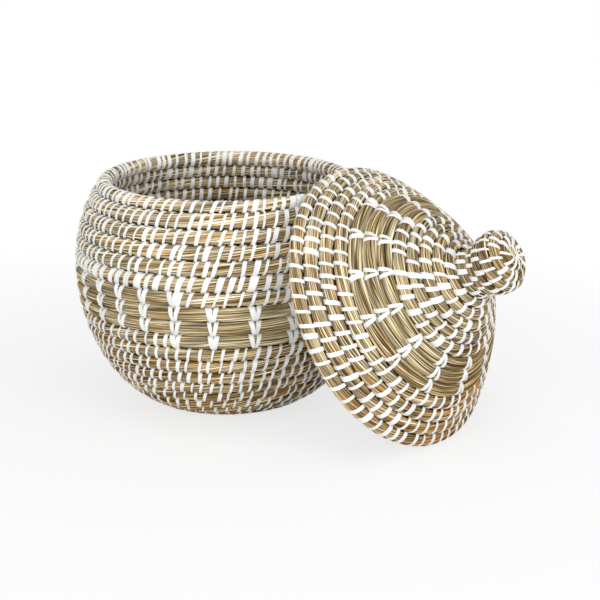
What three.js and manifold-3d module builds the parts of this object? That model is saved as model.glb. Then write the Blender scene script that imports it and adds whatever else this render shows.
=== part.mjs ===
// A pot-bellied basket with a conical lid, coiled from seagrass bundles and stitched with flat strip.
// The lid is off and leans on the basket, knob outwards.
// Millimetres and degrees, +Z up. The origin is the middle of the base, on the ground.
import * as THREE from "three";
import { mergeVertices } from "three/addons/utils/BufferGeometryUtils.js";
import Module from "manifold-3d";

const wasm = await Module();
wasm.setup();
const { clamp, degToRad, lerp, smoothstep } = THREE.MathUtils;

// Basket. Its profile is the line through the middle of the bundle, from the axis out and up to the rim.
const bellyRadius = 150; // outside
const bellyHeight = 145;
const rimLineRadius = 115;
const rimLineHeight = 228;
const baseFlatRadius = 44; // where the base starts to curve up
const shoulderTurn = 50; // how far round its ellipse the shoulder goes before the rim cuts it off
const bundleDepth = 14; // through the wall
const bandAngle = -106; // where the bare band of the wall starts and ends
const rimEndAngle = -41; // where the coil runs out on the rim

// Lid, in a frame of its own: its axis is Z, its edge lies near Z = 0 and the knob is on top.
const lidOverhang = 18; // edge of the lid past the rim, both on their bundle lines
const lidHeight = 92; // from the edge to the foot of the knob
const lidBulge = 11; // height of the control point of the dome's curve over its chord
const lidBundleDepth = 12;
const lidBandAngle = 200.5;
const lidEndAngle = 95;
const knobRadius = 28.5; // outside, at its thick end
const knobNeckRadius = 24.5; // outside, at its foot
const knobSideHeight = 23;
const knobEndRise = 13; // how far the rounded end rises over the side
const knobFootRadius = 18; // hollow round between knob and dome
const knobFootTurn = 53;
const knobBundleDepth = 8.5;

// Courses, counted up the wall where the bare band starts, and out from the knob in the same way.
const baseCourses = 6;
const lowerCourses = 7;
const bandCourses = 3;
const upperCourses = 7;
const knobCourses = 6;
const crownCourses = 5;
const edgeCourses = 5;
const lidBandCourse = 12.9; // height of a course; the crown shares out what the band and edge leave
const lidEdgeCourse = 12.4;

// Coiling
const courseGap = 0.6; // between neighbouring courses
const buttGap = 0.3; // between the ends of two lengths of bundle
const levelShare = 0.7; // how level the last courses run, from 0, a plain spiral, to 1
const endStepTurns = 0.083; // stretch in which the levelled courses climb, and the last one thins out
const endCutTurns = 0.03; // the last course stops this long before it has thinned to nothing
const heartOpenTurns = 0.5; // the first turn keeps its inner edge on the axis this long
const heartRadius = 4; // folded start of the bundle, which closes the middle of the coil

// Chains of V stitches across the bare bands
const stitchColumns = 28;
const lidStitchColumns = 14;
const columnWaver = 2.5; // unevenness of the columns, in degrees
const waversAround = 4;
const lidWaversAround = 2;
const stripWidth = 4;
const stripThickness = 1;
const stripClearance = 0.45;
const legFootWidth = 3; // the strip is pulled narrow where two legs meet
const legGap = 0.5; // between the legs of a V on the crest of its course
const legSpread = 3; // between them at the open end
const legReach = 0.85; // share of a course that a leg covers before the next V holds it down

// How the lid leans
const leanTilt = 63.6; // lid's axis from the vertical
const leanAzimuth = -38.2; // way the knob points
const leanBearing = -29.3; // way from the basket's axis to where the lid stands
const leanGap = 0.4;
const standShare = 0.1; // of the bundle's depth, pressed flat where it stands on the ground

// Facets
const wallSteps = 24;
const heartSteps = 12;
const heartTurns = 5; // inner turns of the base that have the coarser steps
const lidSteps = 18;
const knobSteps = 9;
const heartSides = 8;

const finishes = {
  wrapped: new THREE.MeshStandardMaterial({ color: "#b49a68", roughness: 0.75, metalness: 0 }),
  bare: new THREE.MeshStandardMaterial({ color: "#9a8850", roughness: 0.7, metalness: 0 }),
  strip: new THREE.MeshStandardMaterial({ color: "#f2f3f2", roughness: 0.45, metalness: 0 }),
};

// Profile curves, in radius and height

function basketProfile() {
  const bellyLine = bellyRadius - bundleDepth / 2;
  const floorLine = bundleDepth * (0.5 - standShare);
  const turn = degToRad(shoulderTurn);
  const shoulderRun = (bellyLine - rimLineRadius) / (1 - Math.cos(turn));
  const shoulderRise = (rimLineHeight - bellyHeight) / Math.sin(turn);
  const lowerRun = bellyLine - baseFlatRadius;
  const lowerRise = bellyHeight - floorLine;
  const profile = new THREE.CurvePath();
  profile.add(
    new THREE.LineCurve(new THREE.Vector2(0, floorLine), new THREE.Vector2(baseFlatRadius, floorLine)),
  );
  profile.add(
    new THREE.EllipseCurve(baseFlatRadius, bellyHeight, lowerRun, lowerRise, -Math.PI / 2, 0),
  );
  profile.add(
    new THREE.EllipseCurve(bellyLine - shoulderRun, bellyHeight, shoulderRun, shoulderRise, 0, turn),
  );
  return profile;
}

function lidProfile() {
  const endLine = knobRadius - knobBundleDepth / 2;
  const neckLine = knobNeckRadius - knobBundleDepth / 2;
  const turn = degToRad(knobFootTurn);
  const footRun = knobFootRadius * (1 - Math.cos(turn));
  const footDrop = knobFootRadius * Math.sin(turn);
  const domeTop = new THREE.Vector2(neckLine + footRun, lidHeight);
  const domeEdge = new THREE.Vector2(rimLineRadius + lidOverhang, 0);
  const chord = domeEdge.clone().sub(domeTop);
  const bulge = new THREE.Vector2(-chord.y, chord.x).setLength(lidBulge);
  const domeControl = domeTop.clone().lerp(domeEdge, 0.5).add(bulge);
  const footTop = lidHeight + footDrop;
  const sideTop = footTop + knobSideHeight;
  const profile = new THREE.CurvePath();
  profile.add(new THREE.EllipseCurve(0, sideTop, endLine, knobEndRise, Math.PI / 2, 0, true));
  const sideMiddle = (sideTop + footTop) / 2;
  profile.add(
    new THREE.CubicBezierCurve(
      new THREE.Vector2(endLine, sideTop),
      new THREE.Vector2(endLine, sideMiddle),
      new THREE.Vector2(neckLine, sideMiddle),
      new THREE.Vector2(neckLine, footTop),
    ),
  );
  profile.add(
    new THREE.EllipseCurve(
      neckLine + knobFootRadius,
      footTop,
      knobFootRadius,
      knobFootRadius,
      Math.PI,
      Math.PI + turn,
    ),
  );
  profile.add(new THREE.QuadraticBezierCurve(domeTop, domeControl, domeEdge));
  return profile;
}

// A coil is a spiral of courses along a profile. `knots` pair a count of turns with a length of profile.
// `outward` is the side of the profile that faces out, `hand` the sense of the spiral seen from above.

function basketCoil() {
  const profile = basketProfile();
  const length = profile.getLength();
  const bandStart = baseCourses + lowerCourses;
  const bandEnd = bandStart + bandCourses;
  const pitch = length / (bandEnd + upperCourses);
  const turns = bandEnd + upperCourses - 1 + (rimEndAngle - bandAngle) / 360;
  return {
    profile,
    length,
    turns,
    outward: -1,
    hand: 1,
    steps: wallSteps,
    levelFrom: bandEnd,
    startAngle: degToRad(bandAngle) - 2 * Math.PI * bandStart,
    knots: [
      { turn: 0, along: 0 },
      { turn: bandEnd, along: pitch * bandEnd },
      { turn: turns, along: length },
    ],
  };
}

function lidCoil() {
  const profile = lidProfile();
  const length = profile.getLength();
  const knobLength = profile.getCurveLengths()[1];
  const bandStart = knobCourses + crownCourses;
  const bandEnd = bandStart + bandCourses;
  const edgeLength = lidEdgeCourse * edgeCourses;
  const bandLength = lidBandCourse * bandCourses;
  const turns = bandEnd + edgeCourses - 1 + (lidBandAngle - lidEndAngle) / 360;
  return {
    profile,
    length,
    turns,
    outward: 1,
    hand: -1,
    steps: lidSteps,
    levelFrom: bandEnd,
    startAngle: degToRad(lidBandAngle) + 2 * Math.PI * bandStart,
    knots: [
      { turn: 0, along: 0 },
      { turn: knobCourses, along: knobLength },
      { turn: bandStart, along: length - edgeLength - bandLength },
      { turn: bandEnd, along: length - edgeLength },
      { turn: turns, along: length },
    ],
  };
}

// Near its end the spiral runs level for most of each turn and climbs in a short stretch.
function levelledTurn(coil, turn) {
  const levelTurns = coil.turns - 1 - coil.levelFrom;
  const level = levelShare * clamp((turn - coil.levelFrom) / levelTurns, 0, 1);
  const wholeTurns = Math.floor(turn - coil.turns);
  const part = turn - coil.turns - wholeTurns;
  const climb = smoothstep(part, 1 - endStepTurns, 1);
  return coil.turns + wholeTurns + (1 - level) * part + level * climb;
}

// Length of profile from the axis to the lower edge of the course, after a count of turns.
function edgeAlong(coil, turn) {
  if (turn >= coil.turns) return coil.length;
  if (turn < 1) return edgeAlong(coil, 1) * smoothstep(turn, heartOpenTurns, 1);
  const eased = levelledTurn(coil, turn);
  const upper = coil.knots.findIndex((knot) => knot.turn > eased);
  const from = coil.knots[upper - 1];
  const to = coil.knots[upper];
  return lerp(from.along, to.along, (eased - from.turn) / (to.turn - from.turn));
}

// Point `out` from the profile line, square to it, in the half plane of the coil at that turn.
function pointOn(coil, turn, along, out) {
  const share = along / coil.length;
  const line = coil.profile.getPoint(share);
  const tangent = coil.profile.getTangent(share);
  const radius = line.x - coil.outward * tangent.y * out;
  const height = line.y + coil.outward * tangent.x * out;
  const angle = coil.startAngle + coil.hand * 2 * Math.PI * turn;
  return new THREE.Vector3(radius * Math.cos(angle), radius * Math.sin(angle), height);
}

// Six-sided section of the bundle. It fills its course, and thins where the course does.
function bundleRing(coil, turn, depth) {
  const low = edgeAlong(coil, turn) + courseGap / 2;
  const high = edgeAlong(coil, turn + 1) - courseGap / 2;
  const middle = (low + high) / 2;
  const half = Math.min(depth / 2, high - low);
  const section = [
    [middle, half],
    [high, half / 2],
    [high, -half / 2],
    [middle, -half],
    [low, -half / 2],
    [low, half / 2],
  ];
  return section.map(([along, out]) => pointOn(coil, turn, along, out));
}

// Closed tube through rings of points that turn left-handed about the way it runs.
function tubeGeometry(rings) {
  const sides = rings[0].length;
  const faces = [];
  for (let ring = 0; ring + 1 < rings.length; ring++) {
    for (let side = 0; side < sides; side++) {
      const a = ring * sides + side;
      const b = ring * sides + ((side + 1) % sides);
      faces.push(a, b + sides, b, a, a + sides, b + sides);
    }
  }
  const last = (rings.length - 1) * sides;
  for (let side = 1; side + 1 < sides; side++) {
    faces.push(0, side, side + 1, last, last + side + 1, last + side);
  }
  const positions = rings.flat().flatMap((point) => point.toArray());
  const geometry = new THREE.BufferGeometry();
  geometry.setAttribute("position", new THREE.Float32BufferAttribute(positions, 3));
  geometry.setIndex(faces);
  return geometry;
}

// Joining and cutting

function solidOf(geometry) {
  const bare = geometry.clone();
  bare.deleteAttribute("normal");
  bare.deleteAttribute("uv");
  const merged = mergeVertices(bare);
  const vertProperties = new Float32Array(merged.attributes.position.array);
  const triVerts = new Uint32Array(merged.index.array);
  return new wasm.Manifold(new wasm.Mesh({ numProp: 3, vertProperties, triVerts }));
}

function geometryOf(solid) {
  const mesh = solid.getMesh();
  const geometry = new THREE.BufferGeometry();
  geometry.setAttribute("position", new THREE.BufferAttribute(mesh.vertProperties, 3));
  geometry.setIndex(new THREE.BufferAttribute(mesh.triVerts, 1));
  geometry.computeVertexNormals();
  return geometry;
}

// What lies below the ground, to press a bundle flat where it stands.
function groundBlock() {
  const side = 8 * (bellyRadius + rimLineHeight);
  return new THREE.BoxGeometry(side, side, side).translate(0, 0, -side / 2);
}

// Least distance between points of the tube that lie about a turn or more apart.
function leastSelfGap(rings, turnsOfRings) {
  const apartTurns = 0.75;
  let least = Infinity;
  rings.forEach((ring, i) => {
    rings.slice(i + 1).forEach((other, j) => {
      if (turnsOfRings[i + 1 + j] - turnsOfRings[i] < apartTurns) return;
      for (const p of ring) for (const q of other) least = Math.min(least, p.distanceTo(q));
    });
  });
  return least;
}

// One length of bundle, from one count of turns to another, short of its neighbours by half the butt gap.
function bundleGeometry(coil, name, fromTurn, toTurn, depth, stepsAt) {
  const trimAt = (turn) => {
    const { x, y } = pointOn(coil, turn, edgeAlong(coil, turn + 0.5), 0);
    return buttGap / 2 / (2 * Math.PI * Math.hypot(x, y));
  };
  const first = fromTurn === 0 ? 0 : fromTurn + trimAt(fromTurn);
  const last = toTurn - trimAt(toTurn);
  const stations = [first];
  let next = fromTurn + 1 / stepsAt(fromTurn);
  while (next < last - trimAt(toTurn)) {
    stations.push(next);
    next += 1 / stepsAt(next);
  }
  stations.push(last);
  const rings = stations.map((turn) => bundleRing(coil, turn, depth));
  const gap = leastSelfGap(rings, stations);
  const loops = (last - first).toFixed(1);
  console.log(`${name}: ${loops} loops, least gap to itself ${gap.toFixed(2)} mm`);
  return tubeGeometry(rings);
}

// The folded start of the bundle, in the middle of the first turn.
function heartGeometry(coil, depth) {
  const middle = pointOn(coil, 0, 0, 0);
  return new THREE.CylinderGeometry(heartRadius, heartRadius, depth, heartSides)
    .rotateX(Math.PI / 2)
    .translate(0, 0, middle.z);
}

// A plate over the course surface. Each cell lists its corners anticlockwise, seen from outside.
function plateGeometry(cells, under, over) {
  const count = under.length;
  const faces = [];
  const edges = new Set();
  for (const cell of cells) {
    for (let k = 1; k + 1 < cell.length; k++) {
      const [a, b, c] = [cell[0], cell[k], cell[k + 1]];
      faces.push(a + count, b + count, c + count, a, c, b);
    }
    cell.forEach((a, k) => edges.add(`${a} ${cell[(k + 1) % cell.length]}`));
  }
  for (const edge of edges) {
    const [a, b] = edge.split(" ").map(Number);
    if (!edges.has(`${b} ${a}`)) faces.push(a, b, b + count, a, b + count, a + count);
  }
  const positions = [...under, ...over].flatMap((point) => point.toArray());
  const geometry = new THREE.BufferGeometry();
  geometry.setAttribute("position", new THREE.Float32BufferAttribute(positions, 3));
  geometry.setIndex(faces);
  return geometry;
}

// Point over the faceted bundle: `share` of the way up its course and `across` to the right of a turn.
function pointOverCourse(coil, turn, share, across, lift, depth) {
  const out = (depth / 4) * (2 - Math.abs(1 - 2 * share)) + lift;
  const at = (station) => {
    const along = lerp(edgeAlong(coil, station), edgeAlong(coil, station + 1), share);
    return pointOn(coil, station, along, out);
  };
  const centre = at(turn);
  const moved = turn + across / (2 * Math.PI * Math.hypot(centre.x, centre.y));
  const station = Math.floor(moved * coil.steps) / coil.steps;
  return at(station).lerp(at(station + 1 / coil.steps), (moved - station) * coil.steps);
}

// A chain of V stitches up the band, one V to a course. The foot of each V holds the legs of the one below.
function chainGeometry(coil, turn, depth) {
  const crest = [legGap / 2, legGap / 2 + stripWidth];
  const open = [legSpread / 2, legSpread / 2 + stripWidth];
  const corners = [];
  const cells = [];
  const addRow = (course, share, offsets) => {
    const first = corners.length;
    offsets.forEach((across) => corners.push([turn + course, share, across]));
    return offsets.map((_, k) => first + k);
  };
  const bothSides = ([inner, outer]) => [-outer, -inner, inner, outer];
  const start = addRow(-1, legReach, [-stripWidth / 2, stripWidth / 2]);
  let foot = addRow(0, 0, [-legFootWidth, 0, legFootWidth]);
  cells.push([...start, foot[2], foot[1], foot[0]]);
  for (let course = 0; course < bandCourses; course++) {
    const last = course === bandCourses - 1;
    const top = addRow(course, 0.5, bothSides(crest));
    const end = addRow(course, last ? 1 : legReach, bothSides(open));
    cells.push([foot[0], foot[1], top[1], top[0]], [foot[1], foot[2], top[3], top[2]]);
    cells.push([top[0], top[1], end[1], end[0]], [top[2], top[3], end[3], end[2]]);
    if (last) break;
    foot = addRow(course, 1, [-legFootWidth, 0, legFootWidth]);
    cells.push([end[0], end[1], foot[1], foot[0]], [end[1], end[2], foot[1]]);
    cells.push([end[2], end[3], foot[2], foot[1]]);
  }
  const lifted = (lift) =>
    corners.map(([at, share, across]) => pointOverCourse(coil, at, share, across, lift, depth));
  return plateGeometry(cells, lifted(stripClearance), lifted(stripClearance + stripThickness));
}

function addMesh(group, name, geometry, finish) {
  const mesh = new THREE.Mesh(geometry, finish);
  mesh.name = name;
  group.add(mesh);
  return mesh;
}

function addChains(group, name, coil, bandStart, columns, wavers, depth) {
  for (let column = 0; column < columns; column++) {
    const wave = 1 - Math.cos((2 * Math.PI * wavers * column) / columns);
    const turn = bandStart + column / columns + (columnWaver / 360) * wave;
    const number = String(column + 1).padStart(2, "0");
    addMesh(group, `${name}_${number}`, chainGeometry(coil, turn, depth), finishes.strip);
  }
}

// Basket

function buildBasket() {
  const coil = basketCoil();
  const group = new THREE.Group();
  const bandStart = baseCourses + lowerCourses;
  const bandEnd = bandStart + bandCourses;
  const wallSteady = () => wallSteps;
  const baseStepsAt = (turn) => (turn < heartTurns - 0.5 / heartSteps ? heartSteps : wallSteps);

  const baseTube = bundleGeometry(coil, "base_coil", 0, baseCourses, bundleDepth, baseStepsAt);
  const heart = heartGeometry(coil, bundleDepth);
  const base = solidOf(baseTube).add(solidOf(heart)).subtract(solidOf(groundBlock()));
  addMesh(group, "base_coil", geometryOf(base), finishes.wrapped);

  const lengths = [
    ["lower_wall_coil", baseCourses, bandStart, finishes.wrapped],
    ["band_coil", bandStart, bandEnd, finishes.bare],
    ["upper_wall_coil", bandEnd, coil.turns - endCutTurns, finishes.wrapped],
  ];
  for (const [name, fromTurn, toTurn, finish] of lengths) {
    addMesh(group, name, bundleGeometry(coil, name, fromTurn, toTurn, bundleDepth, wallSteady), finish);
  }
  addChains(group, "band_stitch", coil, bandStart, stitchColumns, waversAround, bundleDepth);
  return group;
}

// Lid

function buildLid() {
  const coil = lidCoil();
  const group = new THREE.Group();
  const bandStart = knobCourses + crownCourses;
  const bandEnd = bandStart + bandCourses;
  const knobSteady = () => knobSteps;
  const lidSteady = () => lidSteps;

  const knobTube = bundleGeometry(coil, "knob_coil", 0, knobCourses, knobBundleDepth, knobSteady);
  const knob = solidOf(knobTube).add(solidOf(heartGeometry(coil, knobBundleDepth)));
  addMesh(group, "knob_coil", geometryOf(knob), finishes.wrapped);

  const lengths = [
    ["lid_crown_coil", knobCourses, bandStart, finishes.wrapped],
    ["lid_band_coil", bandStart, bandEnd, finishes.bare],
    ["lid_edge_coil", bandEnd, coil.turns - endCutTurns, finishes.wrapped],
  ];
  for (const [name, fromTurn, toTurn, finish] of lengths) {
    addMesh(group, name, bundleGeometry(coil, name, fromTurn, toTurn, lidBundleDepth, lidSteady), finish);
  }
  addChains(group, "lid_band_stitch", coil, bandStart, lidStitchColumns, lidWaversAround, lidBundleDepth);
  return group;
}

// Stands the lid on its edge and slides it towards the basket until the two all but touch.
function leanLid(lid, basket) {
  lid.rotation.set(0, degToRad(leanTilt), degToRad(leanAzimuth), "ZYX");
  lid.updateMatrixWorld(true);
  const edge = lid.getObjectByName("lid_edge_coil");
  const lowest = new THREE.Box3().setFromObject(edge, true).min.z;
  lid.position.z = -lowest - standShare * lidBundleDepth;

  const meets = basket.children.filter((mesh) => mesh.name.endsWith("coil"));
  const fixed = meets.map((mesh) => solidOf(mesh.geometry));
  const leaning = lid.children.filter((mesh) => mesh.name.endsWith("coil"));
  const placeAt = (distance) => {
    lid.position.x = distance * Math.cos(degToRad(leanBearing));
    lid.position.y = distance * Math.sin(degToRad(leanBearing));
    lid.updateMatrixWorld(true);
  };
  const overlaps = () =>
    leaning.some((mesh) => {
      const solid = solidOf(mesh.geometry.clone().applyMatrix4(mesh.matrixWorld));
      return fixed.some((other) => solid.intersect(other).volume() > 0);
    });

  const finest = 0.02;
  let clash = rimLineRadius;
  let clear = 2 * bellyRadius + lidHeight;
  while (clear - clash > finest) {
    const distance = (clash + clear) / 2;
    placeAt(distance);
    if (overlaps()) clash = distance;
    else clear = distance;
  }
  placeAt(clear + leanGap);
  console.log(`lid stands ${lid.position.toArray().map((v) => v.toFixed(1)).join(", ")}`);

  const ground = groundBlock().applyMatrix4(lid.matrixWorld.clone().invert());
  edge.geometry = geometryOf(solidOf(edge.geometry).subtract(solidOf(ground)));
}

const basket = buildBasket();
const lid = buildLid();
leanLid(lid, basket);
const group = new THREE.Group();
group.add(basket, lid);

export default group;
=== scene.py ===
# %% [markdown]
# # A coiled seagrass basket with its lid off
#
# The real basket is one long bundle of dry seagrass, wound in a spiral and sewn to itself with a flat
# white strip. A band of the wall and a band of the lid are left bare and held by chains of V stitches.
# It could be a turned shell with a pattern of stitches on it, but that looks flat at the rim and at every
# outline. So this lesson builds it as it is made, around a measured frame: the grass as swept bundles
# whose strands are real ridges, every stitch as its own ribbon, and three finishes made of nodes.

import bpy
import numpy as np
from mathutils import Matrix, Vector


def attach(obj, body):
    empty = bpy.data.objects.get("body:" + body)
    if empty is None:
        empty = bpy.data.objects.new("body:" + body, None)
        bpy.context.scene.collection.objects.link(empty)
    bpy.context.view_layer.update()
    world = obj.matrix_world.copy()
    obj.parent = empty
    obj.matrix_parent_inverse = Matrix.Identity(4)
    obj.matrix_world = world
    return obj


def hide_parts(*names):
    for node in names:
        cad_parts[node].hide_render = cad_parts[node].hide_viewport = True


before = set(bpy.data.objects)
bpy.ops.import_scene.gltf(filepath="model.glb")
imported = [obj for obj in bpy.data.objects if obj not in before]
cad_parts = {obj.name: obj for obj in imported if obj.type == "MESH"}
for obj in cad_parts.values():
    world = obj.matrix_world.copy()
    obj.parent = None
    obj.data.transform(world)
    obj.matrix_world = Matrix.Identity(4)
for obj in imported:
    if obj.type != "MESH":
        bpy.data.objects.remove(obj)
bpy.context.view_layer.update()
MM = 0.001
SEED = 20
draw = np.random.default_rng(SEED)

# %% [markdown]
# ## The line that the bundle follows
#
# Seen in a half plane through the axis, the middle of the bundle follows a smooth line: from the middle of
# the base, round the belly, up to the rim. The lid has such a line too, from the end of its knob to its
# edge. A hand-drawn curve object could hold these lines, but then the sizes would be hidden in its points.
# Arcs and Bezier curves worked out from a few sizes keep them in sight. They are in millimetres and
# degrees, as a maker would measure them, and turn to metres only when a mesh is made.

# %% Sizes of the basket and the lid
BUNDLE_DEPTH = 14
LID_BUNDLE_DEPTH = 12
KNOB_BUNDLE_DEPTH = 8.5
STAND_SHARE = 0.1

BELLY_RADIUS = 150
BELLY_HEIGHT = 145
RIM_LINE_RADIUS = 115
RIM_LINE_HEIGHT = 228
BASE_FLAT_RADIUS = 44
SHOULDER_TURN = 50

LID_OVERHANG = 18
LID_HEIGHT = 92
LID_BULGE = 11
KNOB_RADIUS = 28.5
KNOB_NECK_RADIUS = 24.5
KNOB_SIDE_HEIGHT = 23
KNOB_END_RISE = 13
KNOB_FOOT_RADIUS = 18
KNOB_FOOT_TURN = 53
print(f"belly {2 * BELLY_RADIUS} mm across, rim {RIM_LINE_HEIGHT} mm up, knob {2 * KNOB_RADIUS} mm across")


# %% Curves
def arc(centre, run, rise, start, end, count=400):
    """Arc of an ellipse: the centre plus run times cosine and rise times sine, from start to end degrees."""
    angle = np.radians(np.linspace(start, end, count))
    return np.column_stack([centre[0] + run * np.cos(angle), centre[1] + rise * np.sin(angle)])


def bezier(*controls, count=400):
    """Bezier curve of any degree: neighbouring controls are blended again and again until one row is left."""
    share = np.linspace(0, 1, count)[:, None]
    rows = [np.repeat([control], count, axis=0) for control in controls]
    while len(rows) > 1:
        rows = [(1 - share) * a + share * b for a, b in zip(rows, rows[1:])]
    return rows[0]


def line_length(line):
    """Length of a line of points: the sum of its steps."""
    return np.hypot(*np.diff(line, axis=0).T).sum()


# %% Lines of the basket and the lid
belly_line = BELLY_RADIUS - BUNDLE_DEPTH / 2
floor_line = BUNDLE_DEPTH * (0.5 - STAND_SHARE)
shoulder = np.radians(SHOULDER_TURN)
shoulder_run = (belly_line - RIM_LINE_RADIUS) / (1 - np.cos(shoulder))
shoulder_rise = (RIM_LINE_HEIGHT - BELLY_HEIGHT) / np.sin(shoulder)
basket_line = np.concatenate([
    bezier((0, floor_line), (BASE_FLAT_RADIUS, floor_line)),
    arc((BASE_FLAT_RADIUS, BELLY_HEIGHT), belly_line - BASE_FLAT_RADIUS, BELLY_HEIGHT - floor_line, -90, 0),
    arc((belly_line - shoulder_run, BELLY_HEIGHT), shoulder_run, shoulder_rise, 0, SHOULDER_TURN),
])

end_line = KNOB_RADIUS - KNOB_BUNDLE_DEPTH / 2
neck_line = KNOB_NECK_RADIUS - KNOB_BUNDLE_DEPTH / 2
foot = np.radians(KNOB_FOOT_TURN)
foot_top = LID_HEIGHT + KNOB_FOOT_RADIUS * np.sin(foot)
side_top = foot_top + KNOB_SIDE_HEIGHT
side_middle = (side_top + foot_top) / 2
dome_top = np.array([neck_line + KNOB_FOOT_RADIUS * (1 - np.cos(foot)), LID_HEIGHT])
dome_edge = np.array([RIM_LINE_RADIUS + LID_OVERHANG, 0])
chord = dome_edge - dome_top
across_chord = np.array([-chord[1], chord[0]]) / np.hypot(*chord)
dome_control = (dome_top + dome_edge) / 2 + LID_BULGE * across_chord
foot_centre = (neck_line + KNOB_FOOT_RADIUS, foot_top)
knob_lines = [
    arc((0, side_top), end_line, KNOB_END_RISE, 90, 0),
    bezier((end_line, side_top), (end_line, side_middle), (neck_line, side_middle), (neck_line, foot_top)),
]
dome_lines = [
    arc(foot_centre, KNOB_FOOT_RADIUS, KNOB_FOOT_RADIUS, 180, 180 + KNOB_FOOT_TURN),
    bezier(dome_top, dome_control, dome_edge),
]
lid_line = np.concatenate(knob_lines + dome_lines)
knob_length = line_length(np.concatenate(knob_lines))
print(f"lines: basket {line_length(basket_line):.0f} mm, lid {line_length(lid_line):.0f} mm")

# %% [markdown]
# ## Winding the line into a coil
#
# The real wall is one spiral, not a stack of rings, and its start and end show. Blender's Screw modifier
# winds a profile too, but with one pitch and one radius. Here a coil is counted in turns instead. After
# each turn its lower edge lies one course further along the line, so the course at a turn reaches from its
# own edge to the edge one turn later. Near the rim a maker runs the courses level and climbs in one short
# stretch, where the last course thins out.

# %% Counts and angles of the two coils
BASE_COURSES, LOWER_COURSES, BAND_COURSES, UPPER_COURSES = 6, 7, 3, 7
KNOB_COURSES, CROWN_COURSES, EDGE_COURSES = 6, 5, 5
LID_BAND_COURSE, LID_EDGE_COURSE = 12.9, 12.4
BAND_ANGLE, RIM_END_ANGLE = -106, -41
LID_BAND_ANGLE, LID_END_ANGLE = 200.5, 95
LEVEL_SHARE = 0.7
END_STEP_TURNS, LID_END_STEP_TURNS = 0.05, 0.083
END_CUT_TURNS = 0.03
HEART_OPEN_TURNS = 0.5
END_ROOM = 3
NO_STEP = 1e-9


def wind(line, knots, level_from, start_degrees, hand, outward, end_step):
    """A coil: its line by length, with tangents, and knots that pair turns with length along the line.
    The line goes straight on a little past its end, so that stitches can lie over the last course."""
    step = np.hypot(*np.diff(line, axis=0).T)
    line = line[np.concatenate([[True], step > NO_STEP])]
    along = np.concatenate([[0], np.cumsum(np.hypot(*np.diff(line, axis=0).T))])
    tangent = np.gradient(line, along, axis=0)
    tangent /= np.linalg.norm(tangent, axis=1, keepdims=True)
    length = along[-1]
    line = np.vstack([line, line[-1] + END_ROOM * tangent[-1]])
    along = np.append(along, length + END_ROOM)
    tangent = np.vstack([tangent, tangent[-1]])
    turns, lengths = np.array(knots).T
    return dict(line=line, along=along, tangent=tangent, knot_turns=turns, knot_along=lengths,
                turns=turns[-1], length=length, level_from=level_from,
                start=np.radians(start_degrees), hand=hand, outward=outward, end_step=end_step)


def smoothstep(value, low, high):
    """0 below low, 1 above high, and 3s^2 - 2s^3 between them."""
    share = np.clip((value - low) / (high - low), 0, 1)
    return share * share * (3 - 2 * share)


# %% The two coils
basket_length = line_length(basket_line)
band_start = BASE_COURSES + LOWER_COURSES
band_end = band_start + BAND_COURSES
basket_turns = band_end + UPPER_COURSES - 1 + (RIM_END_ANGLE - BAND_ANGLE) / 360
basket_pitch = basket_length / (band_end + UPPER_COURSES)
basket_coil = wind(
    basket_line,
    [(0, 0), (band_end, basket_pitch * band_end), (basket_turns, basket_length)],
    level_from=band_end, start_degrees=BAND_ANGLE - 360 * band_start, hand=1, outward=-1,
    end_step=END_STEP_TURNS,
)

lid_length = line_length(lid_line)
lid_band_start = KNOB_COURSES + CROWN_COURSES
lid_band_end = lid_band_start + BAND_COURSES
lid_turns = lid_band_end + EDGE_COURSES - 1 + (LID_BAND_ANGLE - LID_END_ANGLE) / 360
lid_band_top = lid_length - LID_EDGE_COURSE * EDGE_COURSES
lid_coil = wind(
    lid_line,
    [(0, 0), (KNOB_COURSES, knob_length), (lid_band_start, lid_band_top - LID_BAND_COURSE * BAND_COURSES),
     (lid_band_end, lid_band_top), (lid_turns, lid_length)],
    level_from=lid_band_end, start_degrees=LID_BAND_ANGLE + 360 * lid_band_start, hand=-1, outward=1,
    end_step=LID_END_STEP_TURNS,
)
print(f"coils: basket {basket_turns:.2f} turns, lid {lid_turns:.2f} turns")


# %% Where a course lies
def levelled(coil, turn):
    """Turns that run level near the end: each turn climbs mostly in its last short stretch."""
    level_turns = coil["turns"] - 1 - coil["level_from"]
    level = LEVEL_SHARE * np.clip((turn - coil["level_from"]) / level_turns, 0, 1)
    whole = np.floor(turn - coil["turns"])
    part = turn - coil["turns"] - whole
    climb = smoothstep(part, 1 - coil["end_step"], 1)
    return coil["turns"] + whole + (1 - level) * part + level * climb


def course_edge(coil, turn):
    """Length of line from the axis to the lower edge of the course: straight between the knots."""
    turn = np.asarray(turn, float)
    edge = np.interp(levelled(coil, turn), coil["knot_turns"], coil["knot_along"])
    first = np.interp(1.0, coil["knot_turns"], coil["knot_along"])
    heart = first * smoothstep(turn, HEART_OPEN_TURNS, 1)
    edge = np.where(turn < 1, heart, edge)
    return np.where(turn >= coil["turns"], coil["length"], edge)


def place(coil, turn, along, out):
    """Points of the coil: out from the line, square to it, in the half plane at that turn."""
    radius, height = (np.interp(along, coil["along"], coil["line"][:, k]) for k in (0, 1))
    slope_r, slope_h = (np.interp(along, coil["along"], coil["tangent"][:, k]) for k in (0, 1))
    radius = radius - coil["outward"] * slope_h * out
    height = height + coil["outward"] * slope_r * out
    angle = coil["start"] + coil["hand"] * 2 * np.pi * turn
    return np.stack([radius * np.cos(angle), radius * np.sin(angle), height + 0 * angle], axis=-1)


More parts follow.
